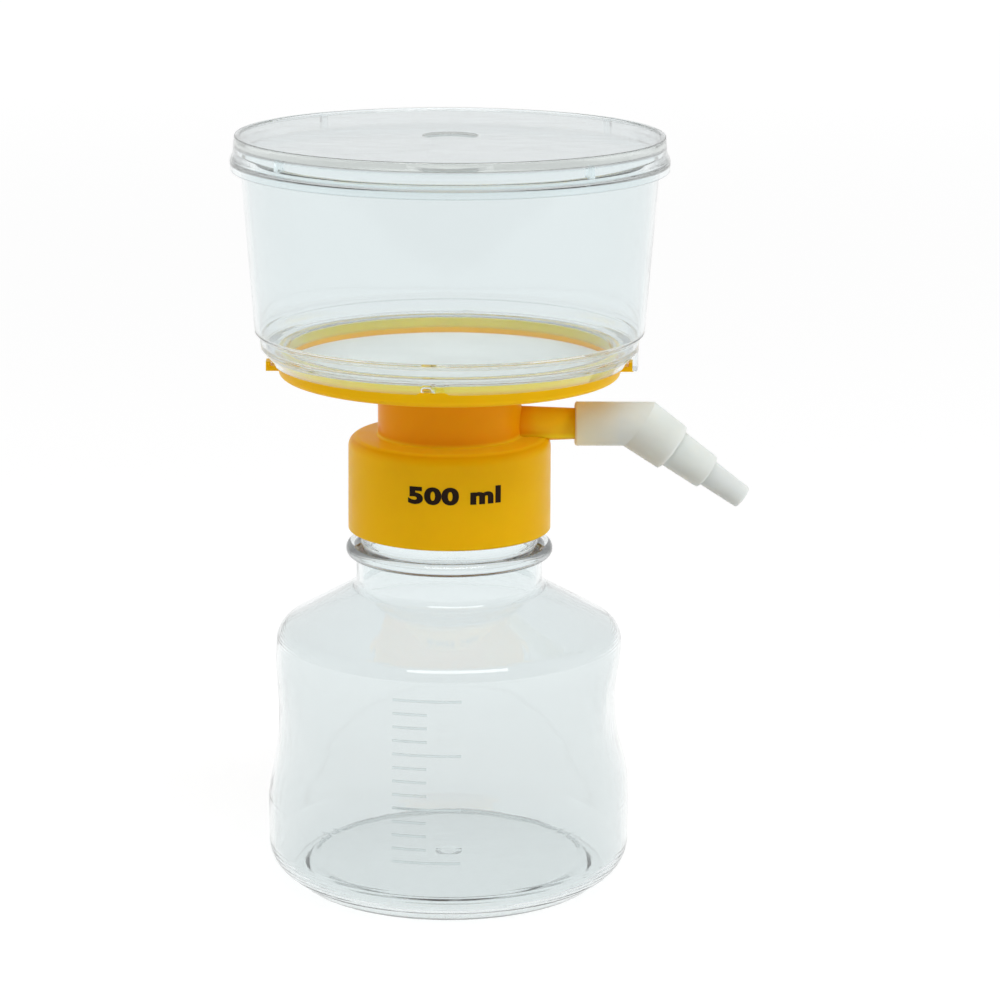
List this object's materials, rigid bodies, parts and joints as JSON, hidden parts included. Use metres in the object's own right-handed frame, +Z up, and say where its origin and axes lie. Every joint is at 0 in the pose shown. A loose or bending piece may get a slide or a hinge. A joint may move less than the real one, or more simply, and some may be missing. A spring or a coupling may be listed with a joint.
{
  "type": "bottle-top vacuum filtration unit",
  "caption": "Clear funnel with lid on a yellow filter base that screws on a clear receiver bottle, with a white stepped hose adapter on its side vacuum port.",
  "frame": {"origin": "centre of the bottle's foot ring, on the surface it stands on", "axes": "+Z up along the common axis of bottle, filter base and funnel; +X along the side vacuum port"},
  "size_m": [0.1372, 0.1146, 0.2011],
  "materials": {
    "clear_bottle": "clear moulded polystyrene",
    "clear_funnel": "clear moulded polystyrene",
    "clear_lid": "clear moulded polystyrene",
    "yellow_plastic": "satin, slightly translucent polyethylene",
    "white_plastic": "natural translucent polypropylene",
    "membrane": "smooth matt filter membrane",
    "soft_seal": "soft translucent silicone"
  },
  "bodies": {
    "bottle": {"bottle": "clear_bottle"},
    "seal": {"neck_seal": "soft_seal"},
    "filter_head": {"filter_base": "yellow_plastic", "membrane": "membrane", "funnel": "clear_funnel"},
    "lid": {"lid": "clear_lid"},
    "adapter": {"hose_adapter": "white_plastic"}
  },
  "joints": [
    {"name": "head_lift", "type": "slide", "parent": "bottle", "child": "seal", "axis": [0, 0, 1], "range_m": [0, 0.006]},
    {"name": "head_turn", "type": "hinge", "parent": "seal", "child": "filter_head", "pos_m": [0, 0, 0.118], "axis": [0, 0, 1], "range_deg": [0, 540]},
    {"name": "lid_lift", "type": "slide", "parent": "filter_head", "child": "lid", "axis": [0, 0, 1], "range_m": [0, 0.06]},
    {"name": "adapter_turn", "type": "hinge", "parent": "filter_head", "child": "adapter", "pos_m": [0.0372, 0, 0.124], "axis": [1, 0, 0], "continuous": true}
  ],
  "couplings": [
    {"joint": "head_lift", "follows": "head_turn", "m_per_rad": 0.00063662}
  ]
}
